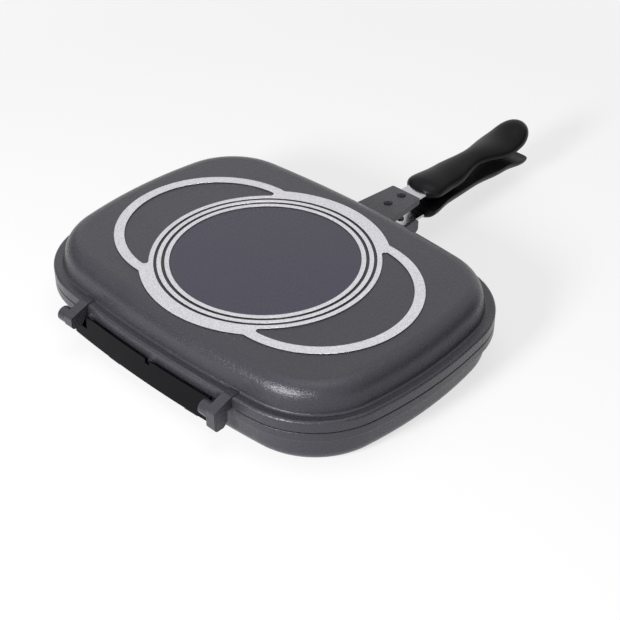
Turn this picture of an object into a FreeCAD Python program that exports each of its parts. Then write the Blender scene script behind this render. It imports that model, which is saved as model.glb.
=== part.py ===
import FreeCAD, Part
import math
import os

Vec = FreeCAD.Vector

# All lengths are in millimetres. X runs along the hinge side, Y from the hinge to the handles, Z up.
# The middle of the two halves is at X = 0, Y = 0 while modelling; the whole pan moves to its own
# origin, under the middle of its box, when the pieces are written out.

# Outline of both halves, seen from above: four bowed sides and four round corners
body_half_width = 180.0
body_half_depth = 131.0
short_side_bow_radius = 384.0
long_side_bow_radius = 1093.0
corner_radius = 74.8

# Levels of the lower half
rib_height = 0.8
lower_rim_bottom = 28.0
lower_rim_top = 36.2
lower_rim_round = 1.2
lower_wall_set_back = 5.0
lower_wall_draft = 2.7
lower_wall_thickness = 4.0
lower_base_thickness = 4.2
lower_base_round = 12.0
lower_cavity_round = 9.0

# Levels of the upper half
seam_gap = 0.8
upper_rim_top = 47.0
upper_rim_round = 2.2
upper_top = 70.0
upper_wall_set_back = 8.5
upper_wall_draft = 4.6
upper_wall_foot_round = 2.0
upper_wall_thickness = 3.0
upper_base_thickness = 4.0
upper_crown_round = 15.0
upper_cavity_round = 12.0
rim_underside_round = 0.6

# Silicone seal in the rim of the upper half
seal_inset = 3.2
seal_groove_width = 4.0
seal_groove_depth = 3.5
seal_side_clearance = 0.1
seal_land_gap = 0.3

# Machined ribs on both outer faces: three round beads and an ear at each side
rib_pattern_set_back = 4.64
inner_bead_radii = (78.4, 82.2)
middle_bead_radii = (84.9, 88.6)
outer_bead_radii = (91.2, 95.2)
outer_bead_wide_radius = 103.3
ear_centre_offset = 61.4
ear_radii = (75.0, 83.6)
ear_tip_round = 3.0
rib_root = 1.0

# Hinge: hooks on the upper half turn on pins held in lugs of the lower half
hinge_axis_set_out = 7.6
hinge_axis_height = 35.0
hook_centre_offset = 84.0
hook_width = 9.0
hook_front_reach = 7.0
hook_front_top = 6.6
hook_front_round = 2.5
hook_tail_reach = 6.5
left_hook_tail_depth = 4.6
right_hook_tail_depth = 12.0
hook_tail_round = 3.6
hook_tail_slant = 4.5
hook_tail_toe_round = 1.0
hook_top_above_rim = 0.6
hook_root_depth = 10.0
hook_cheek = 1.5
lug_side_gap = 0.5
lug_width = 9.5
lug_radius = 6.3
lug_web_below_rim = 0.2
lug_root_depth = 6.0
pin_radius = 3.0
pin_running_fit = 0.05
pin_end_recess = 1.0
pin_end_gap = 0.5
pin_chamfer = 0.5
relief_depth = 2.5
relief_past_hook = 2.5

# Drip tray under the rim, up to the right lug; its left end runs on, low, under the left hook and lug
tray_side_gap = 0.8
tray_low_end_top = 24.5
tray_low_end_round = 3.5
tray_wall = 1.2
tray_front_set_out = 3.6
tray_wall_clearance = 0.3
tray_bottom = 13.0
tray_front_top = 38.0
tray_rim_clearance = 0.3
tray_rim_side_gap = 1.0
tray_notch_width = 5.0
tray_notch_depth = 4.5
shelf_width = 14.0
shelf_thickness = 2.5
shelf_gap = 0.3
shelf_front_recess = 1.6
shelf_centre_offset = 46.0

# Handle brackets, cast with each half; places along the handle are counted from the rim's edge
bracket_root_depth = 19.0
bracket_reach = 40.4
bracket_root_half_width = 21.6
bracket_end_half_width = 16.0
bracket_corner_round = 1.5
bracket_side_wall = 3.0
upper_bracket_top = 54.4
upper_bracket_plate = 4.0
upper_bracket_side_bottom = 48.9
upper_bracket_side_round = 3.0
upper_bracket_foot_depth = 3.0
upper_bracket_foot_root = 1.0
lower_bracket_bottom = 20.5
lower_bracket_plate = 6.5
lower_bracket_side_top = 34.5
lower_bracket_side_round = 7.0
lower_bracket_face_round = 6.0

# Steel tangs and their rivets
tang_thickness = 2.5
tang_start_out = 6.0
tang_half_width = 10.5
tang_shoulder_out = 57.0
tang_tail_half_width = 8.0
tang_end_out = 166.0
tang_corner_round = 3.0
rivet_outs = (15.4, 33.4)
rivet_shank_radius = 2.0
rivet_head_radius = 4.0
rivet_head_height = 1.1
rivet_dimple_radius = 1.7
rivet_dimple_depth = 0.7
rivet_tail_radius = 3.2
rivet_tail_height = 1.0

# Grips: the upper one is oval all round, the lower one is half an oval with its flat side up
grip_front_out = 55.0
upper_grip_front_nose = 14.0
upper_grip_front_cap_share = 0.5
upper_grip_nose = 26.0
upper_grip_end_cap_share = 0.17
upper_grip_length = 155.0
upper_grip_half_width = 16.8
upper_grip_half_height = 10.0
upper_grip_level = 47.1
lower_grip_front_nose = 4.5
lower_grip_front_cap_share = 0.83
lower_grip_nose = 3.0
lower_grip_end_cap_share = 0.76
lower_grip_length = 141.0
lower_grip_half_width = 16.5
lower_grip_depth = 13.2
lower_grip_level = 36.2
tang_pocket_clearance = 0.1

# Swell along each grip: share of its length, then width, height and lift at that place as shares
# of its half width, its half height and its half height
upper_grip_swell_shares = ((0.0, 1.17, 0.93, 0.14), (0.25, 1.0, 1.0, 0.0), (0.50, 0.69, 0.74, 0.28),
                           (0.75, 1.11, 0.86, 0.03), (1.0, 1.06, 1.50, 0.53))
lower_grip_swell_shares = ((0.0, 1.22, 1.04, -0.08), (0.25, 1.0, 1.0, 0.0), (0.50, 0.95, 0.91, -0.02),
                           (0.80, 1.13, 1.0, -0.06), (1.0, 1.21, 0.85, -0.28))
grip_middle_stations = 7
grip_nose_stations = 4

# Grip screws, one through each tang, counted from the front of the grip
screw_in = 38.0
screw_shank_radius = 1.9
screw_head_radius = 3.6
screw_head_height = 2.2
screw_head_recess = 0.8
screw_past_tang = 2.0
screw_pocket_clearance = 0.1
screw_slot_half_width = 0.5
screw_slot_depth = 1.0

# Magnets of the handle lock, each in a steel cup flush with the facing sides of the grips
magnet_in = 113.5
magnet_radius = 4.6
magnet_height = 3.0
cup_wall = 0.9
cup_fit = 0.05
cup_face_recess = 0.4

# Cutting values
overrun = 5.0
edge_tolerance = 0.01

# Levels and places that follow from the sizes above
lower_base = rib_height
upper_crown = upper_top - rib_height
upper_rim_bottom = lower_rim_top + seam_gap
hinge_axis_y = -(body_half_depth + hinge_axis_set_out)
hinge_front_y = hinge_axis_y - hook_front_reach
upper_tang_top = upper_bracket_top - upper_bracket_plate
lower_tang_bottom = lower_bracket_bottom + lower_bracket_plate
bracket_root_y = body_half_depth - bracket_root_depth
bracket_end_y = body_half_depth + bracket_reach
tang_start_y = body_half_depth + tang_start_out
tang_shoulder_y = body_half_depth + tang_shoulder_out
tang_end_y = body_half_depth + tang_end_out
rivet_ys = tuple(body_half_depth + out for out in rivet_outs)
grip_front_y = body_half_depth + grip_front_out
upper_grip_end_y = grip_front_y + upper_grip_length
screw_y = grip_front_y + screw_in
magnet_y = grip_front_y + magnet_in
origin_shift = Vec(0, -(hinge_front_y + upper_grip_end_y) / 2, 0)


def unit(vector):
    return vector.multiply(1.0 / vector.Length)


def arc(start, middle, end):
    return Part.Arc(start, middle, end).toShape()


def crossing(first, first_radius, second, second_radius):
    # Where two circles cross, on the left of the way from the first centre to the second
    apart = (second - first).Length
    along = (first_radius ** 2 - second_radius ** 2 + apart ** 2) / (2 * apart)
    across = math.sqrt(first_radius ** 2 - along ** 2)
    ahead = unit(second - first)
    return first + Vec(ahead) * along + Vec(-ahead.y, ahead.x, 0) * across


def corner_centre():
    # The corner arc touches both bowed sides from inside
    side = Vec(body_half_width - short_side_bow_radius, 0, 0)
    front = Vec(0, body_half_depth - long_side_bow_radius, 0)
    return crossing(side, short_side_bow_radius - corner_radius, front, long_side_bow_radius - corner_radius)


def outline_wire(inset, height):
    # The body outline, moved inwards by inset, as eight tangent arcs
    centre = corner_centre()
    side_way = unit(centre - Vec(body_half_width - short_side_bow_radius, 0, 0))
    front_way = unit(centre - Vec(0, body_half_depth - long_side_bow_radius, 0))
    middle_way = unit(side_way + front_way)
    radius = corner_radius - inset
    on_side = centre + side_way * radius
    on_corner = centre + middle_way * radius
    on_front = centre + front_way * radius
    half_width = body_half_width - inset
    half_depth = body_half_depth - inset

    def place(point, mirror_x, mirror_y):
        return Vec(point.x * mirror_x, point.y * mirror_y, height)

    ring = [place(on_side, 1, 1), place(on_corner, 1, 1), place(on_front, 1, 1),
            Vec(0, half_depth, height),
            place(on_front, -1, 1), place(on_corner, -1, 1), place(on_side, -1, 1),
            Vec(-half_width, 0, height),
            place(on_side, -1, -1), place(on_corner, -1, -1), place(on_front, -1, -1),
            Vec(0, -half_depth, height),
            place(on_front, 1, -1), place(on_corner, 1, -1), place(on_side, 1, -1),
            Vec(half_width, 0, height)]
    edges = []
    for start in range(0, len(ring), 2):
        edges.append(arc(ring[start], ring[start + 1], ring[(start + 2) % len(ring)]))
    return Part.Wire(edges)


def outline_slab(inset, bottom, top):
    return Part.Face(outline_wire(inset, bottom)).extrude(Vec(0, 0, top - bottom))


def outline_block(low_inset, low, high_inset, high):
    # A block with drafted sides between two outlines
    return Part.makeLoft([outline_wire(low_inset, low), outline_wire(high_inset, high)], True, True)


def edges_at(shape, height):
    found = []
    for edge in shape.Edges:
        box = edge.BoundBox
        if abs(box.ZMin - height) < edge_tolerance and abs(box.ZMax - height) < edge_tolerance:
            found.append(edge)
    return found


def rounded_at(shape, height, radius):
    return shape.makeFillet(radius, edges_at(shape, height))


def rounded_inside(shape, height, inset, radius):
    # Rounds only the edges at this height that lie within the outline moved inwards by inset
    zone = Part.Face(outline_wire(inset, height))
    found = []
    for edge in edges_at(shape, height):
        middle = edge.valueAt((edge.FirstParameter + edge.LastParameter) / 2)
        if zone.isInside(middle, edge_tolerance, True):
            found.append(edge)
    return shape.makeFillet(radius, found)


def rounded_end(shape, x, radius):
    # Rounds the upright edges at this x
    found = []
    for edge in shape.Edges:
        box = edge.BoundBox
        here = abs(box.XMin - x) < edge_tolerance and box.XLength < edge_tolerance
        if here and box.YLength < edge_tolerance:
            found.append(edge)
    return shape.makeFillet(radius, found)


def box_between(low, high):
    return Part.makeBox(high[0] - low[0], high[1] - low[1], high[2] - low[2], Vec(*low))


def upright_cylinder(radius, bottom, top, x=0, y=0):
    return Part.makeCylinder(radius, top - bottom, Vec(x, y, bottom))


def rounded_outline(corners, place):
    # Closed outline of straight lines whose corners (across, up, radius) are rounded
    starts = []
    pieces = []
    count = len(corners)
    for index in range(count):
        here = Vec(corners[index][0], corners[index][1], 0)
        before = Vec(corners[index - 1][0], corners[index - 1][1], 0)
        after = Vec(corners[(index + 1) % count][0], corners[(index + 1) % count][1], 0)
        radius = corners[index][2]
        back = unit(before - here)
        ahead = unit(after - here)
        half_turn = back.getAngle(ahead) / 2
        if radius == 0:
            starts.append((here, None, here))
            continue
        cut_back = radius / math.tan(half_turn)
        inward = unit(back + ahead)
        centre = here + inward * (radius / math.sin(half_turn))
        starts.append((here + back * cut_back, centre - inward * radius, here + ahead * cut_back))
    for index in range(count):
        enter, middle, leave = starts[index]
        if middle is not None:
            pieces.append(arc(place(enter), place(middle), place(leave)))
        following = starts[(index + 1) % count][0]
        pieces.append(Part.LineSegment(place(leave), place(following)).toShape())
    return Part.Wire(pieces)


def side_profile(corners, x_low, x_high):
    # Prism along X from an outline in the Y-Z plane
    wire = rounded_outline(corners, lambda point: Vec(x_low, point.x, point.y))
    return Part.Face(wire).extrude(Vec(x_high - x_low, 0, 0))


def plan_profile(corners, bottom, top):
    # Prism along Z from an outline in the X-Y plane
    wire = rounded_outline(corners, lambda point: Vec(point.x, point.y, bottom))
    return Part.Face(wire).extrude(Vec(0, 0, top - bottom))


def turned(corners, x, y):
    # Solid of revolution about an upright line, from an outline of (radius, height) points
    points = []
    for radius, height in corners:
        points.append(Vec(x + radius, y, height))
    points.append(points[0])
    return Part.Face(Part.makePolygon(points)).revolve(Vec(x, y, 0), Vec(0, 0, 1), 360)


def annulus(radii, bottom, top):
    y = -rib_pattern_set_back
    return upright_cylinder(radii[1], bottom, top, 0, y).cut(
        upright_cylinder(radii[0], bottom - overrun, top + overrun, 0, y))


def ear_hollow(side, bottom, top):
    # Crescent inside an ear, outside the round beads, with both of its tips rounded
    bead_radius = outer_bead_radii[1]
    ear_middle = Vec(ear_centre_offset, 0, 0)
    tip = crossing(Vec(0, 0, 0), bead_radius + ear_tip_round, ear_middle, ear_radii[0] - ear_tip_round)
    from_bead = unit(Vec(tip))
    from_ear = unit(tip - ear_middle)
    on_bead = from_bead * bead_radius
    on_ear = ear_middle + from_ear * ear_radii[0]
    nose = tip + unit(from_ear - from_bead) * ear_tip_round

    def place(point, up):
        return Vec(side * point.x, up * point.y - rib_pattern_set_back, bottom)

    far_ear = ear_middle + Vec(ear_radii[0], 0, 0)
    edges = [arc(place(on_ear, 1), place(far_ear, 1), place(on_ear, -1)),
             arc(place(on_ear, -1), place(nose, -1), place(on_bead, -1)),
             arc(place(on_bead, -1), place(Vec(bead_radius, 0, 0), 1), place(on_bead, 1)),
             arc(place(on_bead, 1), place(nose, 1), place(on_ear, 1))]
    return Part.Face(Part.Wire(edges)).extrude(Vec(0, 0, top - bottom))


def machined_ribs(bottom, top):
    # Round beads; the outer one widens towards handle and hinge, and an ear stands at each side
    y = -rib_pattern_set_back
    ribs = upright_cylinder(outer_bead_wide_radius, bottom, top, 0, y)
    for side in (-1, 1):
        ribs = ribs.fuse(upright_cylinder(ear_radii[1], bottom, top, side * ear_centre_offset, y))
    for side in (-1, 1):
        ribs = ribs.cut(ear_hollow(side, bottom - overrun, top + overrun))
    ribs = ribs.cut(upright_cylinder(outer_bead_radii[0], bottom - overrun, top + overrun, 0, y))
    return ribs.fuse([annulus(inner_bead_radii, bottom, top), annulus(middle_bead_radii, bottom, top)])


def bracket_plan(bottom, top):
    return plan_profile(((-bracket_root_half_width, bracket_root_y, 0),
                         (bracket_root_half_width, bracket_root_y, 0),
                         (bracket_end_half_width, bracket_end_y, bracket_corner_round),
                         (-bracket_end_half_width, bracket_end_y, bracket_corner_round)), bottom, top)


def bracket(face, plate, side_end, side_round, face_round=0):
    # Channel that holds the tang: a flat plate with a wall hanging from each long edge
    up = 1 if side_end > face else -1
    wall = bracket_side_wall
    inner = ((-bracket_root_half_width + wall, bracket_root_y - overrun, 0),
             (bracket_root_half_width - wall, bracket_root_y - overrun, 0),
             (bracket_end_half_width - wall, bracket_end_y + overrun, 0),
             (-bracket_end_half_width + wall, bracket_end_y + overrun, 0))
    side = ((bracket_root_y, face, 0), (bracket_end_y, face, face_round),
            (bracket_end_y, side_end, side_round), (bracket_root_y, side_end, 0))
    block = bracket_plan(min(face, side_end), max(face, side_end)).common(
        side_profile(side, -bracket_root_half_width, bracket_root_half_width))
    plate_inside = face + up * plate
    channel_end = side_end + up * overrun
    channel = plan_profile(inner, min(plate_inside, channel_end), max(plate_inside, channel_end))
    return block.cut(channel)


def bracket_foot():
    # Pad that carries the upper bracket on the rim
    low = upper_rim_top - upper_bracket_foot_root
    high = upper_bracket_top - upper_bracket_plate
    return bracket_plan(low, high).common(box_between(
        (-bracket_root_half_width, bracket_root_y, low),
        (bracket_root_half_width, body_half_depth - upper_bracket_foot_depth, high)))


def outline_set_out(x):
    # How far the bowed hinge side lies from the straight line through its middle, at this x
    return long_side_bow_radius - math.sqrt(long_side_bow_radius ** 2 - x ** 2)


def hinge_hook(centre_x, tail_depth):
    # Hook of the upper half: an arm from the rim that curls round the pin, open towards the pan,
    # with a cheek that covers the end of the pin
    x_low = centre_x - hook_width / 2
    x_high = centre_x + hook_width / 2
    rim_y = -body_half_depth + outline_set_out(centre_x)
    root_y = rim_y + hook_root_depth
    front = hinge_axis_y - hook_front_reach
    toe = hinge_axis_y + hook_tail_reach
    bottom = hinge_axis_height - tail_depth
    top = upper_rim_top + hook_top_above_rim
    profile = ((root_y, top, 0), (rim_y, top, upper_rim_round),
               (front, hinge_axis_height + hook_front_top, hook_front_round),
               (front, bottom, hook_tail_round),
               (hinge_axis_y + hook_tail_slant / 2, bottom, hook_tail_toe_round),
               (toe, bottom + hook_tail_slant, hook_tail_toe_round),
               (toe, upper_rim_bottom, 0), (root_y, upper_rim_bottom, 0))
    arm = side_profile(profile, x_low, x_high)
    eye_radius = pin_radius + pin_running_fit
    eye_end = x_high - hook_cheek
    eye = Part.makeCylinder(eye_radius, eye_end - x_low + overrun,
                            Vec(x_low - overrun, hinge_axis_y, hinge_axis_height), Vec(1, 0, 0))
    slot = box_between((x_low - overrun, hinge_axis_y, hinge_axis_height - eye_radius),
                       (eye_end, toe + overrun, hinge_axis_height + eye_radius))
    slot_top = box_between((x_low - overrun, toe, upper_rim_bottom),
                           (x_high + overrun, toe + 2 * overrun,
                            hinge_axis_height + eye_radius + overrun))
    return arm.cut(eye).cut(slot.cut(slot_top))


def lug_span(centre_x):
    high = centre_x - hook_width / 2 - lug_side_gap
    return high - lug_width, high


def hinge_lug(centre_x):
    # Lug of the lower half: a barrel that holds the pin, with a web to the rim
    low, high = lug_span(centre_x)
    barrel = Part.makeCylinder(lug_radius, lug_width, Vec(low, hinge_axis_y, hinge_axis_height),
                               Vec(1, 0, 0))
    web = box_between((low, hinge_axis_y, lower_rim_bottom),
                      (high, -body_half_depth + outline_set_out(low) + lug_root_depth,
                       lower_rim_top - lug_web_below_rim))
    return barrel.fuse(web)


def hinge_pin(centre_x):
    start = lug_span(centre_x)[0] + pin_end_recess
    end = centre_x + hook_width / 2 - hook_cheek - pin_end_gap
    pin = Part.makeCylinder(pin_radius, end - start, Vec(start, hinge_axis_y, hinge_axis_height),
                            Vec(1, 0, 0))
    rims = []
    for edge in pin.Edges:
        if edge.BoundBox.XLength < edge_tolerance:
            rims.append(edge)
    return pin.makeChamfer(pin_chamfer, rims)


def pin_bore(centre_x):
    low, high = lug_span(centre_x)
    return Part.makeCylinder(pin_radius, high + overrun - low - pin_end_recess,
                             Vec(low + pin_end_recess, hinge_axis_y, hinge_axis_height), Vec(1, 0, 0))


def hook_relief(centre_x):
    # Shallow bay in the lower rim beside the lug, where the hook swings
    lug_end = lug_span(centre_x)[1]
    rim_y = -body_half_depth + outline_set_out(centre_x)
    return box_between((lug_end, hinge_axis_y - overrun, lower_rim_bottom - overrun),
                       (centre_x + hook_width / 2 + relief_past_hook, rim_y + relief_depth,
                        lower_rim_top + overrun))


def tray_shelf(centre_x):
    # Small shelf on the lower half that carries the drip tray
    top = tray_bottom - shelf_gap
    band = outline_slab(-tray_front_set_out + shelf_front_recess, top - shelf_thickness, top)
    front = -body_half_depth - tray_front_set_out - overrun
    return band.common(box_between((centre_x - shelf_width / 2, front, top - shelf_thickness),
                                   (centre_x + shelf_width / 2, -body_half_depth + lower_base_round, top)))


def lower_pan():
    wall_low_inset = lower_wall_set_back + lower_wall_draft
    bowl = outline_block(wall_low_inset, lower_base, lower_wall_set_back, lower_rim_bottom + rib_root)
    bowl = rounded_at(bowl, lower_base, lower_base_round)
    rim = outline_slab(0, lower_rim_bottom, lower_rim_top)
    rim = rounded_at(rim, lower_rim_bottom, lower_rim_round)
    rim = rounded_at(rim, lower_rim_top, rim_underside_round)
    body = bowl.fuse([rim, bracket(lower_bracket_bottom, lower_bracket_plate, lower_bracket_side_top,
                                   lower_bracket_side_round, lower_bracket_face_round)])
    for side in (-1, 1):
        body = body.fuse(hinge_lug(side * hook_centre_offset))
        body = body.cut(hook_relief(side * hook_centre_offset))
        body = body.fuse(tray_shelf(side * shelf_centre_offset))
    floor = lower_base + lower_base_thickness
    mouth_inset = lower_wall_set_back + lower_wall_thickness
    slope = lower_wall_draft / (lower_rim_bottom - lower_base)
    rise = lower_rim_top + overrun - lower_rim_bottom
    cavity = outline_block(mouth_inset + lower_wall_draft, floor, mouth_inset - slope * rise,
                           lower_rim_top + overrun)
    cavity = rounded_at(cavity, floor, lower_cavity_round)
    body = body.cut(cavity)
    for side in (-1, 1):
        body = body.cut(pin_bore(side * hook_centre_offset))
    for y in rivet_ys:
        body = body.cut(upright_cylinder(rivet_shank_radius, lower_bracket_bottom - overrun,
                                         lower_bracket_side_top, 0, y))
    return body.fuse(machined_ribs(0, lower_base + rib_root))


def upper_pan():
    crown_inset = upper_wall_set_back + upper_wall_draft
    dome = outline_block(upper_wall_set_back, upper_rim_top, crown_inset, upper_crown)
    dome = rounded_at(dome, upper_crown, upper_crown_round)
    rim = outline_slab(0, upper_rim_bottom, upper_rim_top)
    rim = rounded_at(rim, upper_rim_top, upper_rim_round)
    rim = rounded_at(rim, upper_rim_bottom, rim_underside_round)
    body = rounded_inside(rim.fuse(dome), upper_rim_top, (upper_rim_round + upper_wall_set_back) / 2,
                          upper_wall_foot_round)
    body = body.fuse([bracket(upper_bracket_top, upper_bracket_plate, upper_bracket_side_bottom,
                              upper_bracket_side_round), bracket_foot()])
    body = body.fuse(hinge_hook(-hook_centre_offset, left_hook_tail_depth))
    body = body.fuse(hinge_hook(hook_centre_offset, right_hook_tail_depth))
    ceiling = upper_crown - upper_base_thickness
    slope = upper_wall_draft / (upper_crown - upper_rim_top)
    drop = upper_rim_top - upper_rim_bottom + overrun
    mouth_inset = upper_wall_set_back + upper_wall_thickness
    cavity = outline_block(mouth_inset - slope * drop, upper_rim_bottom - overrun,
                           mouth_inset + upper_wall_draft, ceiling)
    cavity = rounded_at(cavity, ceiling, upper_cavity_round)
    body = body.cut(cavity)
    groove = outline_slab(seal_inset, upper_rim_bottom - overrun, upper_rim_bottom + seal_groove_depth)
    groove = groove.cut(outline_slab(seal_inset + seal_groove_width, upper_rim_bottom - 2 * overrun,
                                     upper_rim_bottom + 2 * overrun))
    body = body.cut(groove)
    for y in rivet_ys:
        body = body.cut(upright_cylinder(rivet_shank_radius, upper_bracket_side_bottom,
                                         upper_bracket_top + overrun, 0, y))
    return body.fuse(machined_ribs(upper_crown - rib_root, upper_top))


def seal_ring():
    bottom = lower_rim_top + seal_land_gap
    top = upper_rim_bottom + seal_groove_depth
    outer = outline_slab(seal_inset + seal_side_clearance, bottom, top)
    inner = outline_slab(seal_inset + seal_groove_width - seal_side_clearance, bottom - overrun,
                         top + overrun)
    return outer.cut(inner)


def drip_tray():
    # Trough that follows the bowed hinge side, with a low back wall under the rim
    low = lug_span(-hook_centre_offset)[0]
    step = -hook_centre_offset + hook_width / 2 + tray_side_gap
    high = lug_span(hook_centre_offset)[0] - tray_side_gap
    back_inset = lower_wall_set_back - tray_wall_clearance
    back_top = lower_rim_bottom - tray_rim_clearance
    above = tray_front_top + overrun
    reach = -body_half_depth - tray_front_set_out - overrun

    def band(outer_inset, inner_inset, bottom, top, x_low, x_high, end_round):
        ring = outline_slab(outer_inset, bottom, top).cut(
            outline_slab(inner_inset, bottom - overrun, top + overrun))
        return rounded_end(ring.common(box_between((x_low, reach, bottom), (x_high, 0, top))),
                           x_low, end_round)

    block = band(-tray_front_set_out, back_inset, tray_bottom, tray_front_top, low, high,
                 tray_low_end_round)
    over_back = outline_slab(back_inset - tray_wall, back_top, above).common(
        box_between((low - overrun, reach, back_top), (high + overrun, 0, above)))
    over_low_end = box_between((low - overrun, reach, tray_low_end_top), (step, 0, above))
    under_rim = outline_slab(-tray_rim_side_gap, back_top, above)
    trough = band(-tray_front_set_out + tray_wall, back_inset - tray_wall, tray_bottom + tray_wall,
                  above, low + tray_wall, high - tray_wall, tray_low_end_round - tray_wall)
    notch = box_between((-tray_notch_width / 2, reach, tray_front_top - tray_notch_depth),
                        (tray_notch_width / 2, -body_half_depth, above))
    for cutter in (over_back, over_low_end, under_rim, trough, notch):
        block = block.cut(cutter)
    return block


def tang(bottom):
    corners = ((-tang_half_width, tang_start_y, tang_corner_round),
               (tang_half_width, tang_start_y, tang_corner_round),
               (tang_half_width, tang_shoulder_y, 0),
               (tang_tail_half_width, tang_shoulder_y + tang_half_width - tang_tail_half_width, 0),
               (tang_tail_half_width, tang_end_y, tang_corner_round),
               (-tang_tail_half_width, tang_end_y, tang_corner_round),
               (-tang_tail_half_width, tang_shoulder_y + tang_half_width - tang_tail_half_width, 0),
               (-tang_half_width, tang_shoulder_y, 0))
    strip = plan_profile(corners, bottom, bottom + tang_thickness)
    for y in rivet_ys:
        strip = strip.cut(upright_cylinder(rivet_shank_radius, bottom - overrun,
                                           bottom + tang_thickness + overrun, 0, y))
    return strip.cut(upright_cylinder(screw_shank_radius, bottom - overrun,
                                      bottom + tang_thickness + overrun, 0, screw_y))


def tang_pocket(bottom):
    # Slot in a grip for its tang, a little larger all round and open towards the pan
    gap = tang_pocket_clearance
    wide = tang_half_width + gap
    narrow = tang_tail_half_width + gap
    neck_y = tang_shoulder_y + tang_half_width - tang_tail_half_width + gap
    corners = ((-wide, tang_start_y, 0), (wide, tang_start_y, 0), (wide, tang_shoulder_y + gap, 0),
               (narrow, neck_y, 0), (narrow, tang_end_y + gap, tang_corner_round),
               (-narrow, tang_end_y + gap, tang_corner_round), (-narrow, neck_y, 0),
               (-wide, tang_shoulder_y + gap, 0))
    return plan_profile(corners, bottom - gap, bottom + tang_thickness + gap)


def rivet(y, head_face, head_way, tail_face):
    # Rivet with a dimpled head; head_way is 1 where the head points up and -1 where it points down
    head_top = head_face + head_way * rivet_head_height
    head_side = head_face + head_way * rivet_head_height / 2
    tail_end = tail_face - head_way * rivet_tail_height
    return turned(((0, tail_end), (rivet_tail_radius, tail_end), (rivet_tail_radius, tail_face),
                   (rivet_shank_radius, tail_face), (rivet_shank_radius, head_face),
                   (rivet_head_radius, head_face), (rivet_head_radius, head_side),
                   (rivet_dimple_radius, head_top),
                   (0, head_top - head_way * rivet_dimple_depth)), 0, y)


def rivets(head_face, head_way, tail_face):
    solids = []
    for y in rivet_ys:
        solids.append(rivet(y, head_face, head_way, tail_face))
    return Part.makeCompound(solids)


def swell_at(swell_shares, along_share):
    # Width, height and lift shares between the stations of a swell, eased from one to the next
    for before, after in zip(swell_shares, swell_shares[1:]):
        if along_share <= after[0]:
            part = (along_share - before[0]) / (after[0] - before[0])
            ease = (1 - math.cos(math.pi * part)) / 2
            return [first + (second - first) * ease for first, second in zip(before[1:], after[1:])]
    return list(swell_shares[-1][1:])


def nose_stations(nose, cap_share):
    # Places along a rounded end and the share of the full section there
    start = math.asin(cap_share)
    reach = math.cos(start)
    stations = []
    for step in range(grip_nose_stations):
        angle = start + (math.pi / 2 - start) * step / grip_nose_stations
        stations.append((nose * (reach - math.cos(angle)) / reach, math.sin(angle)))
    return stations


def grip_section(centre, half_width, half_height, whole):
    # Ellipse across a grip, or its lower half closed by a straight line
    ellipse = Part.Ellipse(centre + Vec(half_width, 0, 0), centre + Vec(0, 0, half_height), centre)
    if whole:
        return Part.Wire(ellipse.toShape())
    lower = Part.ArcOfEllipse(ellipse, math.pi, 2 * math.pi)
    return Part.Wire([lower.toShape(), Part.LineSegment(lower.EndPoint, lower.StartPoint).toShape()])


def grip_solid(length, noses, cap_shares, half_width, half_height, level, swell_shares, whole):
    # Grip drawn through sections along Y, with rounded ends; noses and cap_shares hold front and end
    places = nose_stations(noses[0], cap_shares[0])
    middle = length - noses[0] - noses[1]
    for step in range(grip_middle_stations + 1):
        places.append((noses[0] + middle * step / grip_middle_stations, 1.0))
    for distance, share in reversed(nose_stations(noses[1], cap_shares[1])):
        places.append((length - distance, share))
    sections = []
    for distance, share in places:
        width_share, height_share, lift_share = swell_at(swell_shares, distance / length)
        centre = Vec(0, grip_front_y + distance, level + half_height * lift_share)
        sections.append(grip_section(centre, half_width * width_share * share,
                                     half_height * height_share * share, whole))
    return Part.makeLoft(sections, True, False)


def cup_seat(face, into):
    # Pocket in a grip for a magnet cup; into is 1 where it goes up from the face
    depth = cup_face_recess + magnet_height + cup_wall
    low = min(face - into * overrun, face + into * depth)
    high = max(face - into * overrun, face + into * depth)
    return upright_cylinder(magnet_radius + cup_wall + cup_fit, low, high, 0, magnet_y)


def screw_seat(face, into, tang_far):
    clear = screw_pocket_clearance
    head_end = face + into * (screw_head_recess + screw_head_height)
    tip = tang_far + into * (screw_past_tang + clear)
    head = upright_cylinder(screw_head_radius + clear, min(face - into * overrun, head_end),
                            max(face - into * overrun, head_end), 0, screw_y)
    return head.fuse(upright_cylinder(screw_shank_radius + clear, min(face, tip), max(face, tip),
                                      0, screw_y))


def upper_grip_underside(y):
    # Level of the underside of the upper grip at this Y
    shares = swell_at(upper_grip_swell_shares, (y - grip_front_y) / upper_grip_length)
    return upper_grip_level + upper_grip_half_height * (shares[2] - shares[1])


def lower_grip_flat(y):
    # Level of the flat side of the lower grip at this Y
    shares = swell_at(lower_grip_swell_shares, (y - grip_front_y) / lower_grip_length)
    return lower_grip_level + lower_grip_depth * shares[2]


def upper_grip():
    body = grip_solid(upper_grip_length, (upper_grip_front_nose, upper_grip_nose),
                      (upper_grip_front_cap_share, upper_grip_end_cap_share), upper_grip_half_width,
                      upper_grip_half_height, upper_grip_level, upper_grip_swell_shares, True)
    body = body.cut(tang_pocket(upper_tang_top - tang_thickness))
    body = body.cut(screw_seat(upper_grip_underside(screw_y), 1, upper_tang_top))
    return body.cut(cup_seat(upper_grip_underside(magnet_y), 1))


def lower_grip():
    body = grip_solid(lower_grip_length, (lower_grip_front_nose, lower_grip_nose),
                      (lower_grip_front_cap_share, lower_grip_end_cap_share), lower_grip_half_width,
                      lower_grip_depth, lower_grip_level, lower_grip_swell_shares, False)
    body = body.cut(tang_pocket(lower_tang_bottom))
    body = body.cut(screw_seat(lower_grip_flat(screw_y), -1, lower_tang_bottom))
    return body.cut(cup_seat(lower_grip_flat(magnet_y), -1))


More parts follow.
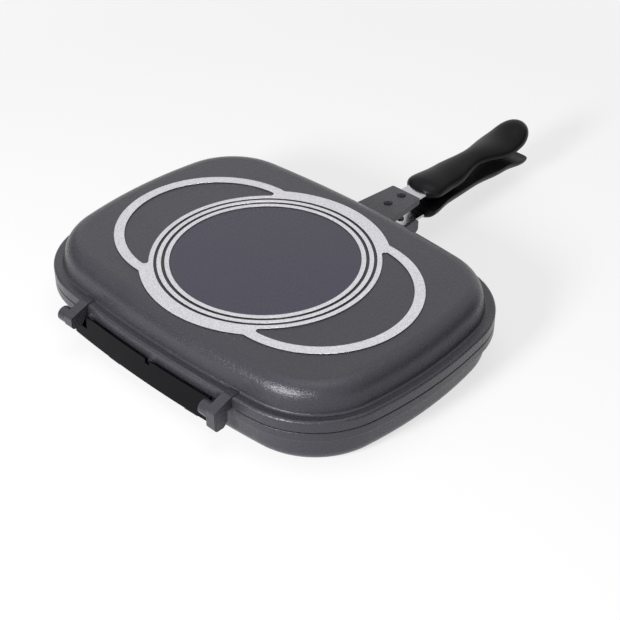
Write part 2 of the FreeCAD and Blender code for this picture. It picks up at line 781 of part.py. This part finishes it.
def grip_screw(face, into, tang_far):
    head_face = face + into * screw_head_recess
    head_end = head_face + into * screw_head_height
    tip = tang_far + into * screw_past_tang
    shank = upright_cylinder(screw_shank_radius, min(head_end, tip), max(head_end, tip), 0, screw_y)
    head = upright_cylinder(screw_head_radius, min(head_face, head_end), max(head_face, head_end),
                            0, screw_y)
    slot_end = head_face + into * screw_slot_depth
    slot_start = head_face - into * overrun
    slot = box_between((-screw_head_radius, screw_y - screw_slot_half_width, min(slot_start, slot_end)),
                       (screw_head_radius, screw_y + screw_slot_half_width, max(slot_start, slot_end)))
    return shank.fuse(head).cut(slot)


def magnet(face, into):
    start = face + into * cup_face_recess
    end = start + into * magnet_height
    return upright_cylinder(magnet_radius, min(start, end), max(start, end), 0, magnet_y)


def magnet_cup(face, into):
    start = face + into * cup_face_recess
    end = start + into * (magnet_height + cup_wall)
    cup = upright_cylinder(magnet_radius + cup_wall, min(start, end), max(start, end), 0, magnet_y)
    return cup.cut(magnet(face, into))


def write(name, shape):
    shape = shape.copy()
    shape.translate(origin_shift)
    shape.exportStep("parts/" + name + ".step")


def main():
    os.makedirs("parts", exist_ok=True)
    upper_under = upper_tang_top - tang_thickness
    lower_over = lower_tang_bottom + tang_thickness
    write("lower_pan", lower_pan())
    write("upper_pan", upper_pan())
    write("seal_ring", seal_ring())
    write("hinge_pin_left", hinge_pin(-hook_centre_offset))
    write("hinge_pin_right", hinge_pin(hook_centre_offset))
    write("drip_tray", drip_tray())
    write("upper_tang", tang(upper_under))
    write("lower_tang", tang(lower_tang_bottom))
    write("upper_tang_rivets", rivets(upper_bracket_top, 1, upper_under))
    write("lower_tang_rivets", rivets(lower_bracket_bottom, -1, lower_over))
    write("upper_grip", upper_grip())
    write("lower_grip", lower_grip())
    write("upper_grip_screw", grip_screw(upper_grip_underside(screw_y), 1, upper_tang_top))
    write("lower_grip_screw", grip_screw(lower_grip_flat(screw_y), -1, lower_tang_bottom))
    write("upper_magnet_cup", magnet_cup(upper_grip_underside(magnet_y), 1))
    write("lower_magnet_cup", magnet_cup(lower_grip_flat(magnet_y), -1))
    write("upper_magnet", magnet(upper_grip_underside(magnet_y), 1))
    write("lower_magnet", magnet(lower_grip_flat(magnet_y), -1))


main()
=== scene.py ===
import bpy
import math
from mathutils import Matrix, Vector


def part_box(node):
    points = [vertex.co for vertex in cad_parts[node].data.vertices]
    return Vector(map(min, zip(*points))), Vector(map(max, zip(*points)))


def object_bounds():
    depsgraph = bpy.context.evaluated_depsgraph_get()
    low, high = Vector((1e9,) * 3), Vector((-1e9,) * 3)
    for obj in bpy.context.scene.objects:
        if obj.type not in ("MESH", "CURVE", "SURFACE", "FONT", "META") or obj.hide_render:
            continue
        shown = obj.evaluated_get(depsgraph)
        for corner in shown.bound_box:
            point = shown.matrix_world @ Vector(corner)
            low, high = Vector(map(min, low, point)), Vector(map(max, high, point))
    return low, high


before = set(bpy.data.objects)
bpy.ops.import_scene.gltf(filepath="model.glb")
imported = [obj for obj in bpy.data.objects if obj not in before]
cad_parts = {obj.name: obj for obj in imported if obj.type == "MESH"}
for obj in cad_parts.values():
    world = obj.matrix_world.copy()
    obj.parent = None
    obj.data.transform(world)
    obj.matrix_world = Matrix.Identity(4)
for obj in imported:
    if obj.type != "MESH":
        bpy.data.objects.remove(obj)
cad_low, cad_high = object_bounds()

mm = 0.001

# Places taken from the frame
upper_rib_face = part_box("upper_pan")[1].z
lower_rib_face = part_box("lower_pan")[0].z
seal_low, seal_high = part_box("seal_ring")
body_middle = Vector(((seal_low.x + seal_high.x) / 2, (seal_low.y + seal_high.y) / 2, 0))

# Machined ribs, as on the cast halves: their centre lies a little towards the hinge
rib_set_back = 4.64 * mm
rib_centre = body_middle - Vector((0, rib_set_back, 0))
rib_height = 0.8 * mm
disc_radius = 78.4 * mm
disc_edge_blend = 0.5 * mm
bead_grooves = ((82.2 * mm, 84.9 * mm), (88.6 * mm, 91.2 * mm))
groove_edge_blend = 0.1 * mm
bare_depth = 0.10 * mm
coated_depth = 0.22 * mm

# Levels below the bare faces, as shares of the rib's height. A rib's wall gives way to the face at
# its foot between the first two, and the looks of that face end between the last two.
wall_end = 0.90
foot_start = 0.98
face_end = 1.2
beyond_face = 1.4

# Sprayed coating. A real orange-peel grain is about 0.8 mm wide and its specks 0.3 mm; both are
# drawn about twice as coarse, so that they show. A speck fades in between two values of its noise.
coat_dark = "232227"
coat_pale = "333238"
coat_grain = 1.6 * mm
coat_grain_depth = 0.4 * mm
coat_grain_strength = 0.85
coat_rough_low = 0.20
coat_rough_high = 0.36
cloud_tint = "39383f"
cloud_width = 26.0 * mm
cloud_share = 0.25
speck_tint = "5c5b63"
speck_width = 0.7 * mm
speck_share = 0.28
speck_start = 0.56
speck_full = 0.72
mirror_tint = "f1f0f9"

# Painted shade in creases, found by ambient occlusion: how far it is felt, and how open a surface is
# where it is full and where it ends. The creases are also made rougher.
crease_shade_tint = "0a0a0c"
crease_reach = 5.0 * mm
crease_shade_share = 0.9
crease_rough = 0.8
crease_full = 0.55
crease_end = 0.88

# The calmer disc inside the beads, and the painted shade on the rib walls and in the bead grooves
disc_tint = "302e3e"
disc_share = 0.8
disc_calm_share = 0.85
rib_wall_and_groove_shade = "0e0e11"

# Rivets: darker than the coat all over, with a weaker sheen, smoother and with a finer grain
rivet_tint = "0a0a0c"
rivet_share = 0.85
rivet_sheen = 0.22
rivet_smoothing = 0.7
rivet_grain_depth = 0.10 * mm
rivet_grain_strength = 0.5

# Machined faces. Turning marks are about 0.1 mm apart and are drawn twice as coarse.
metal_dark = "b4b3b7"
metal_pale = "edecf0"
metal_pale_start = 0.38
metal_pale_full = 0.62
metal_rough_low = 0.30
metal_rough_high = 0.46
turning_mark = 0.22 * mm
turning_depth = 0.03 * mm
turning_strength = 0.4
satin_blotch = 0.8 * mm

# Rolled steel
rolling_mark = 0.35 * mm
rolling_depth = 0.02 * mm
rolling_strength = 0.4

# Mouldings. The spark-eroded grain of a mould is about 0.3 mm wide and is drawn coarser.
moulding_cloud = 18.0 * mm
moulding_grain_strength = 0.5

# Silicone
silicone_dark = "39393b"
silicone_pale = "434345"
silicone_grain = 1.2 * mm
silicone_grain_depth = 0.05 * mm
silicone_grain_strength = 0.3
silicone_rough_low = 0.6
silicone_rough_high = 0.75

# The photograph's camera: angles, distance from the point it looks at, and focal length in pixels
camera_azimuth = math.radians(44.087)
camera_elevation = math.radians(36.528)
camera_distance = 1179.39 * mm
camera_focal_pixels = 1445.5
frame_pixels = 620
sensor_width_mm = 36.0
camera_target = body_middle + Vector((42.99 * mm, 3.15 * mm, 35.0 * mm))
camera_near = 0.01
camera_far = 50.0

# Floor, in metres: near the pan part of its white is its own, and from white_beyond all of it is
floor_paper = "f7f7f7"
floor_rough = 0.9
floor_half = 12.0
floor_drop = 0.2 * mm
own_white_near = 0.7
plain_beyond = 0.45
white_beyond = 1.2

# Lamps: direction from the pan, distance and width in metres, and power in watts
key_lamp = dict(direction=(0.12, -0.90, 0.46), distance=1.6, width=0.4, power=32.0)
overhead_lamp = dict(direction=(0.05, 0.0, 1.0), distance=1.9, width=1.4, power=8.0)
world_strength = 0.27

# Low dark panels in the surroundings, in degrees: where each stands, how far to each side it is
# fully dark, and where it ends. They fade out upwards between two angles above the horizon.
left_panel = dict(azimuth=-154.0, full_angle=38.0, end_angle=54.0)
right_panel = dict(azimuth=40.0, full_angle=32.0, end_angle=50.0)
panel_top_start = 18.0
panel_top_end = 36.0
panel_darkness = 0.9


# Materials

def colour(hex_text):
    # sRGB hex to linear red, green, blue and alpha
    channels = []
    for start in (0, 2, 4):
        value = int(hex_text[start:start + 2], 16) / 255
        channels.append(value / 12.92 if value <= 0.04045 else ((value + 0.055) / 1.055) ** 2.4)
    return (*channels, 1.0)


def add(tree, kind, inputs, output=0, **settings):
    # Adds one shader node, sets and links it, and returns one of its outputs. An input goes by its
    # socket's name or number, and is a plain value or another node's output. A Mix node takes its
    # share at 0, and two colours at 6 and 7, mixed at output 2, or two values at 2 and 3.
    made = tree.nodes.new("ShaderNode" + kind)
    for name, value in settings.items():
        setattr(made, name, value)
    for socket, value in inputs.items():
        if isinstance(value, bpy.types.NodeSocket):
            tree.links.new(value, made.inputs[socket])
        else:
            made.inputs[socket].default_value = value
    return made.outputs[output] if made.outputs else None


def new_material(name):
    material = bpy.data.materials.new(name)
    material.use_nodes = True
    tree = material.node_tree
    tree.nodes.clear()
    surface = add(tree, "BsdfPrincipled", {})
    add(tree, "OutputMaterial", {"Surface": surface})
    place = add(tree, "TexCoord", {}, "Object")
    return material, tree, surface.node, place


def coat_look(tree, place):
    # Sprayed non-stick coating: dark grey, with a fine orange-peel grain, paler specks and a soft sheen.
    # In creases, found by ambient occlusion, its colour is darkened as painted shade and it is made
    # rougher.
    # Returns colour, roughness and the height of the grain.
    grain = add(tree, "TexNoise", {"Vector": place, "Scale": 1 / coat_grain, "Detail": 4.0,
                                   "Roughness": 0.66}, "Fac")
    cloud = add(tree, "TexNoise", {"Vector": place, "Scale": 1 / cloud_width, "Detail": 2.0}, "Fac")
    specks = add(tree, "TexNoise", {"Vector": place, "Scale": 1 / speck_width, "Detail": 2.0,
                                    "Roughness": 0.7}, "Fac")
    openness = add(tree, "AmbientOcclusion", {"Distance": crease_reach}, "AO", samples=8, only_local=True)

    clouded = add(tree, "Math", {0: cloud, 1: cloud_share}, operation="MULTIPLY")
    specked = add(tree, "MapRange", {"Value": specks, "From Min": speck_start, "From Max": speck_full,
                                     "To Max": speck_share}, interpolation_type="SMOOTHSTEP")
    crease = add(tree, "MapRange", {"Value": openness, "From Min": crease_full, "From Max": crease_end,
                                    "To Min": 1.0, "To Max": 0.0}, interpolation_type="SMOOTHSTEP")
    painted_crease_shade = add(tree, "Math", {0: crease, 1: crease_shade_share}, operation="MULTIPLY")

    body = add(tree, "Mix", {0: grain, 6: colour(coat_dark), 7: colour(coat_pale)}, 2, data_type="RGBA")
    body = add(tree, "Mix", {0: clouded, 6: body, 7: colour(cloud_tint)}, 2, data_type="RGBA")
    body = add(tree, "Mix", {0: specked, 6: body, 7: colour(speck_tint)}, 2, data_type="RGBA")
    # Painted shade: in creases found by ambient occlusion, the colour is mixed towards near black
    body = add(tree, "Mix", {0: painted_crease_shade, 6: body, 7: colour(crease_shade_tint)}, 2, data_type="RGBA")

    sheen = add(tree, "MapRange", {"Value": grain, "To Min": coat_rough_low, "To Max": coat_rough_high})
    dull = add(tree, "Math", {0: crease, 1: crease_rough}, operation="MULTIPLY")
    rough = add(tree, "Math", {0: sheen, 1: dull}, operation="MAXIMUM")
    return body, rough, grain


def rib_masks(tree, place, rib_face, away):
    # Where a cast half is bare, where shade is painted dark on the rib walls and in the bead grooves,
    # where the disc inside the beads is, and the distance from the middle of the beads. rib_face is the
    # level of the bare faces, and away is 1 where they look up and -1 where they look down.
    level = add(tree, "SeparateXYZ", {"Vector": place}, "Z")
    below = add(tree, "Math", {0: level, 1: -away, 2: away * rib_face}, operation="MULTIPLY_ADD")
    coated = add(tree, "MapRange", {"Value": below, "From Min": bare_depth, "From Max": coated_depth},
                 interpolation_type="SMOOTHSTEP")
    bare = add(tree, "Math", {0: 1.0, 1: coated}, operation="SUBTRACT")
    foot = add(tree, "MapRange", {"Value": below, "From Min": wall_end * rib_height,
                                  "From Max": foot_start * rib_height}, interpolation_type="SMOOTHSTEP")
    # dark marks where shade is painted: the rib walls, and below, the bead grooves
    dark = add(tree, "Math", {0: coated, 1: foot}, operation="SUBTRACT")

    centred = add(tree, "VectorMath", {0: place, 1: rib_centre}, operation="SUBTRACT")
    flat = add(tree, "VectorMath", {0: centred, 1: (1, 1, 0)}, operation="MULTIPLY")
    radius = add(tree, "VectorMath", {0: flat}, "Value", operation="LENGTH")
    outer_face = add(tree, "MapRange", {"Value": below, "From Min": face_end * rib_height,
                                        "From Max": beyond_face * rib_height, "To Min": 1.0,
                                        "To Max": 0.0}, interpolation_type="SMOOTHSTEP")
    disc = add(tree, "MapRange", {"Value": radius, "From Min": disc_radius - disc_edge_blend,
                                  "From Max": disc_radius, "To Min": 1.0, "To Max": 0.0},
               interpolation_type="SMOOTHSTEP")
    disc = add(tree, "Math", {0: disc, 1: outer_face}, operation="MULTIPLY")
    for inner, outer in bead_grooves:
        entered = add(tree, "MapRange", {"Value": radius, "From Min": inner - groove_edge_blend,
                                         "From Max": inner}, interpolation_type="SMOOTHSTEP")
        left = add(tree, "MapRange", {"Value": radius, "From Min": outer,
                                      "From Max": outer + groove_edge_blend},
                   interpolation_type="SMOOTHSTEP")
        groove = add(tree, "Math", {0: entered, 1: left}, operation="SUBTRACT")
        groove = add(tree, "Math", {0: groove, 1: outer_face}, operation="MULTIPLY")
        groove = add(tree, "Math", {0: groove, 1: coated}, operation="MULTIPLY")
        dark = add(tree, "Math", {0: dark, 1: groove}, operation="MAXIMUM")
    return bare, dark, disc, radius


def coated_cast_aluminium(name, rib_face, away):
    # Die-cast aluminium under the sprayed coating. The ribs are machined bare afterwards: their faces are
    # pale satin metal with fine turning marks. Their walls and the narrow grooves between the beads are
    # painted nearly black as shade.
    material, tree, shader, place = new_material(name)
    bare, dark, disc, radius = rib_masks(tree, place, rib_face, away)
    body, coat_rough, grain = coat_look(tree, place)
    shader.inputs["Specular Tint"].default_value = colour(mirror_tint)
    tinted = add(tree, "Math", {0: disc, 1: disc_share}, operation="MULTIPLY")
    body = add(tree, "Mix", {0: tinted, 6: body, 7: colour(disc_tint)}, 2, data_type="RGBA")
    # Painted shade: the rib walls and the bead grooves are mixed to near black
    body = add(tree, "Mix", {0: dark, 6: body, 7: colour(rib_wall_and_groove_shade)}, 2, data_type="RGBA")

    rings = add(tree, "CombineXYZ", {"X": radius})
    marks = add(tree, "TexNoise", {"Vector": rings, "Scale": 1 / turning_mark, "Detail": 2.0,
                                   "Roughness": 0.6}, "Fac")
    satin = add(tree, "TexNoise", {"Vector": place, "Scale": 1 / satin_blotch, "Detail": 3.0,
                                   "Roughness": 0.7}, "Fac")
    worn = add(tree, "Math", {0: marks, 1: satin}, operation="ADD")
    worn = add(tree, "Math", {0: worn, 1: 0.5}, operation="MULTIPLY")
    polish = add(tree, "MapRange", {"Value": worn, "From Min": metal_pale_start,
                                    "From Max": metal_pale_full}, interpolation_type="SMOOTHSTEP")
    metal = add(tree, "Mix", {0: polish, 6: colour(metal_dark), 7: colour(metal_pale)}, 2,
                data_type="RGBA")
    skin = add(tree, "Mix", {0: bare, 6: body, 7: metal}, 2, data_type="RGBA")
    tree.links.new(skin, shader.inputs["Base Color"])
    tree.links.new(bare, shader.inputs["Metallic"])

    metal_rough = add(tree, "MapRange", {"Value": worn, "To Min": metal_rough_low,
                                         "To Max": metal_rough_high})
    rough = add(tree, "Mix", {0: bare, 2: coat_rough, 3: metal_rough})
    tree.links.new(rough, shader.inputs["Roughness"])

    disc_calm = add(tree, "Math", {0: disc, 1: disc_calm_share}, operation="MULTIPLY")
    calm = add(tree, "Math", {0: bare, 1: disc_calm}, operation="MAXIMUM")
    grained = add(tree, "Math", {0: 1.0, 1: calm}, operation="SUBTRACT")
    coat_height = add(tree, "Math", {0: grain, 1: grained}, operation="MULTIPLY")
    coat_normal = add(tree, "Bump", {"Height": coat_height, "Distance": coat_grain_depth,
                                     "Strength": coat_grain_strength})
    turned_height = add(tree, "Math", {0: worn, 1: bare}, operation="MULTIPLY")
    normal = add(tree, "Bump", {"Height": turned_height, "Distance": turning_depth,
                                "Strength": turning_strength, "Normal": coat_normal})
    tree.links.new(normal, shader.inputs["Normal"])
    return material


def coated_rivet(name):
    # Aluminium rivet sprayed together with the bracket, so it has the same coating, mixed most of the way
    # to near black all over and made smoother.
    material, tree, shader, place = new_material(name)
    shader.inputs["Specular IOR Level"].default_value = rivet_sheen
    body, rough, grain = coat_look(tree, place)
    thick = add(tree, "Mix", {0: rivet_share, 6: body, 7: colour(rivet_tint)}, 2, data_type="RGBA")
    smooth = add(tree, "Math", {0: rough, 1: rivet_smoothing}, operation="MULTIPLY")
    normal = add(tree, "Bump", {"Height": grain, "Distance": rivet_grain_depth,
                                "Strength": rivet_grain_strength})
    tree.links.new(thick, shader.inputs["Base Color"])
    tree.links.new(smooth, shader.inputs["Roughness"])
    tree.links.new(normal, shader.inputs["Normal"])
    return material


def moulded_plastic(name, dark, light, rough_low, rough_high, grain_width, grain_depth, sheen):
    # Moulded thermoset or nylon: near black, satin, with the faint spark-eroded grain of its mould
    # and a weak sheen, because the filler at its surface scatters the light
    material, tree, shader, place = new_material(name)
    shader.inputs["Specular IOR Level"].default_value = sheen
    grain = add(tree, "TexNoise", {"Vector": place, "Scale": 1 / grain_width, "Detail": 3.0,
                                   "Roughness": 0.6}, "Fac")
    cloud = add(tree, "TexNoise", {"Vector": place, "Scale": 1 / moulding_cloud, "Detail": 2.0}, "Fac")
    body = add(tree, "Mix", {0: cloud, 6: colour(dark), 7: colour(light)}, 2, data_type="RGBA")
    rough = add(tree, "MapRange", {"Value": grain, "To Min": rough_low, "To Max": rough_high})
    normal = add(tree, "Bump", {"Height": grain, "Distance": grain_depth,
                                "Strength": moulding_grain_strength})
    tree.links.new(body, shader.inputs["Base Color"])
    tree.links.new(rough, shader.inputs["Roughness"])
    tree.links.new(normal, shader.inputs["Normal"])
    return material


def rolled_steel(name, squeeze, dark, light, rough_low, rough_high):
    # Rolled, turned or plated steel: bright, with fine marks drawn out along the directions in
    # which squeeze is below 1
    material, tree, shader, place = new_material(name)
    shader.inputs["Metallic"].default_value = 1.0
    drawn = add(tree, "Mapping", {"Vector": place, "Scale": squeeze})
    marks = add(tree, "TexNoise", {"Vector": drawn, "Scale": 1 / rolling_mark, "Detail": 3.0,
                                   "Roughness": 0.65}, "Fac")
    body = add(tree, "Mix", {0: marks, 6: colour(dark), 7: colour(light)}, 2, data_type="RGBA")
    rough = add(tree, "MapRange", {"Value": marks, "To Min": rough_low, "To Max": rough_high})
    normal = add(tree, "Bump", {"Height": marks, "Distance": rolling_depth,
                                "Strength": rolling_strength})
    tree.links.new(body, shader.inputs["Base Color"])
    tree.links.new(rough, shader.inputs["Roughness"])
    tree.links.new(normal, shader.inputs["Normal"])
    return material


def cured_silicone(name):
    # Cured silicone: dark, matte and a little dusty
    material, tree, shader, place = new_material(name)
    grain = add(tree, "TexNoise", {"Vector": place, "Scale": 1 / silicone_grain, "Detail": 3.0}, "Fac")
    body = add(tree, "Mix", {0: grain, 6: colour(silicone_dark), 7: colour(silicone_pale)}, 2,
               data_type="RGBA")
    rough = add(tree, "MapRange", {"Value": grain, "To Min": silicone_rough_low,
                                   "To Max": silicone_rough_high})
    normal = add(tree, "Bump", {"Height": grain, "Distance": silicone_grain_depth,
                                "Strength": silicone_grain_strength})
    tree.links.new(body, shader.inputs["Base Color"])
    tree.links.new(rough, shader.inputs["Roughness"])
    tree.links.new(normal, shader.inputs["Normal"])
    return material


def dress(node_names, material):
    for name in node_names:
        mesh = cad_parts[name].data
        mesh.materials.clear()
        mesh.materials.append(material)


def dress_pan():
    dress(["upper_pan"], coated_cast_aluminium("coated_cast_aluminium_upper", upper_rib_face, 1))
    dress(["lower_pan"], coated_cast_aluminium("coated_cast_aluminium_lower", lower_rib_face, -1))
    dress(["upper_tang_rivets", "lower_tang_rivets"], coated_rivet("coated_aluminium_rivet"))
    dress(["upper_grip", "lower_grip"],
          moulded_plastic("phenolic_grip", dark="0a0a0c", light="131316", rough_low=0.26, rough_high=0.44,
                          grain_width=1.8 * mm, grain_depth=0.25 * mm, sheen=0.12))
    dress(["drip_tray"],
          moulded_plastic("nylon_tray", dark="060608", light="0c0c0f", rough_low=0.36, rough_high=0.50,
                          grain_width=1.2 * mm, grain_depth=0.15 * mm, sheen=0.04))
    dress(["upper_tang", "lower_tang"],
          rolled_steel("rolled_steel_tang", squeeze=(1.0, 0.04, 1.0), dark="a6a6aa", light="d2d2d6",
                       rough_low=0.16, rough_high=0.28))
    dress(["upper_grip_screw", "lower_grip_screw"],
          rolled_steel("plated_steel_screw", squeeze=(1.0, 1.0, 1.0), dark="c4c4c8", light="ececf0",
                       rough_low=0.16, rough_high=0.26))
    dress(["hinge_pin_left", "hinge_pin_right", "upper_magnet_cup", "lower_magnet_cup"],
          rolled_steel("turned_steel_pin", squeeze=(1.0, 0.1, 0.1), dark="a8a8ad", light="d0d0d4",
                       rough_low=0.22, rough_high=0.34))
    dress(["upper_magnet", "lower_magnet"],
          rolled_steel("nickel_plated_magnet", squeeze=(1.0, 1.0, 1.0), dark="8f8c88", light="b3b0aa",
                       rough_low=0.2, rough_high=0.3))
    dress(["seal_ring"], cured_silicone("silicone_seal"))


# Camera, floor and light

def make_camera():
    back = Vector((math.sin(camera_azimuth) * math.cos(camera_elevation),
                   -math.cos(camera_azimuth) * math.cos(camera_elevation),
                   math.sin(camera_elevation)))
    data = bpy.data.cameras.new("camera")
    data.sensor_width = sensor_width_mm
    data.lens = camera_focal_pixels / frame_pixels * sensor_width_mm
    data.clip_start = camera_near
    data.clip_end = camera_far
    camera = bpy.data.objects.new("camera", data)
    camera.location = camera_target + back * camera_distance
    camera.rotation_euler = (-back).to_track_quat("-Z", "Y").to_euler()
    bpy.context.scene.collection.objects.link(camera)
    bpy.context.scene.camera = camera


def background_rays(tree):
    # 1 for rays that show the background: straight to the camera, mirrored, or through glass
    straight = add(tree, "LightPath", {}, "Is Camera Ray")
    path = straight.node.outputs
    seen = add(tree, "Math", {0: straight, 1: path["Is Glossy Ray"]}, operation="MAXIMUM")
    seen = add(tree, "Math", {0: seen, 1: path["Is Transmission Ray"]}, operation="MAXIMUM")
    return seen, path["Is Glossy Ray"]


def make_floor():
    # Matte white paper sweep; part of its white is its own for the camera, so that it stays pale
    # round the soft shadow, and all of it is at a distance, where the lamps don't reach
    mesh = bpy.data.meshes.new("floor")
    corners = [(-floor_half, -floor_half, 0), (floor_half, -floor_half, 0), (floor_half, floor_half, 0),
               (-floor_half, floor_half, 0)]
    mesh.from_pydata(corners, [], [(0, 1, 2, 3)])
    floor = bpy.data.objects.new("floor", mesh)
    floor.location = (0, 0, cad_low[2] - floor_drop)
    bpy.context.scene.collection.objects.link(floor)

    material, tree, shader, place = new_material("pale_studio_floor")
    shader.inputs["Base Color"].default_value = colour(floor_paper)
    shader.inputs["Roughness"].default_value = floor_rough
    shader.inputs["Specular IOR Level"].default_value = 0.0
    distance = add(tree, "VectorMath", {0: place}, "Value", operation="LENGTH")
    own = add(tree, "MapRange", {"Value": distance, "From Min": plain_beyond, "From Max": white_beyond,
                                 "To Min": own_white_near}, interpolation_type="SMOOTHSTEP")
    share = add(tree, "Math", {0: background_rays(tree)[0], 1: own}, operation="MULTIPLY")
    white = add(tree, "Emission", {"Color": (1, 1, 1, 1), "Strength": 1.0})
    both = add(tree, "MixShader", {0: share, 1: shader.outputs[0], 2: white})
    tree.links.new(both, tree.nodes["Material Output"].inputs["Surface"])
    mesh.materials.append(material)


def add_lamp(name, direction, distance, width, power):
    data = bpy.data.lights.new(name, "AREA")
    data.shape = "DISK"
    data.size = width
    data.energy = power
    lamp = bpy.data.objects.new(name, data)
    toward = Vector(direction).normalized()
    lamp.location = body_middle + toward * distance
    lamp.rotation_euler = (-toward).to_track_quat("-Z", "Y").to_euler()
    bpy.context.scene.collection.objects.link(lamp)


def dark_panel(tree, direction, azimuth, full_angle, end_angle):
    # 1 towards a dark panel that stands low at this side, 0 beside and above it
    turn = math.radians(azimuth)
    near = add(tree, "VectorMath", {0: direction, 1: (math.cos(turn), math.sin(turn), 0)}, "Value",
               operation="DOT_PRODUCT")
    ahead = add(tree, "MapRange", {"Value": near, "From Min": math.cos(math.radians(end_angle)),
                                   "From Max": math.cos(math.radians(full_angle))},
                interpolation_type="SMOOTHSTEP")
    height = add(tree, "SeparateXYZ", {"Vector": direction}, "Z")
    low = add(tree, "MapRange", {"Value": height, "From Min": math.sin(math.radians(panel_top_start)),
                                 "From Max": math.sin(math.radians(panel_top_end)), "To Min": 1.0,
                                 "To Max": 0.0}, interpolation_type="SMOOTHSTEP")
    return add(tree, "Math", {0: ahead, 1: low}, operation="MULTIPLY")


def make_light():
    # White surroundings, with a low dark panel at two sides that shows the slopes of the dome in the
    # sheen of the coating
    world = bpy.data.worlds.new("studio")
    bpy.context.scene.world = world
    world.use_nodes = True
    tree = world.node_tree
    tree.nodes.clear()
    seen, mirrored = background_rays(tree)
    direction = add(tree, "TexCoord", {}, "Generated")
    left = dark_panel(tree, direction, **left_panel)
    right = dark_panel(tree, direction, **right_panel)
    dim = add(tree, "Math", {0: left, 1: right}, operation="MAXIMUM")
    dim = add(tree, "Math", {0: dim, 1: mirrored}, operation="MULTIPLY")
    dim = add(tree, "Math", {0: dim, 1: panel_darkness}, operation="MULTIPLY")
    white = add(tree, "Math", {0: 1.0, 1: dim}, operation="SUBTRACT")
    strength = add(tree, "Mix", {0: seen, 2: world_strength, 3: white})
    background = add(tree, "Background", {"Color": (1, 1, 1, 1), "Strength": strength})
    add(tree, "OutputWorld", {"Surface": background})
    add_lamp("key", **key_lamp)
    add_lamp("overhead", **overhead_lamp)


dress_pan()
make_camera()
make_floor()
make_light()
bpy.context.scene.view_settings.view_transform = "Standard"
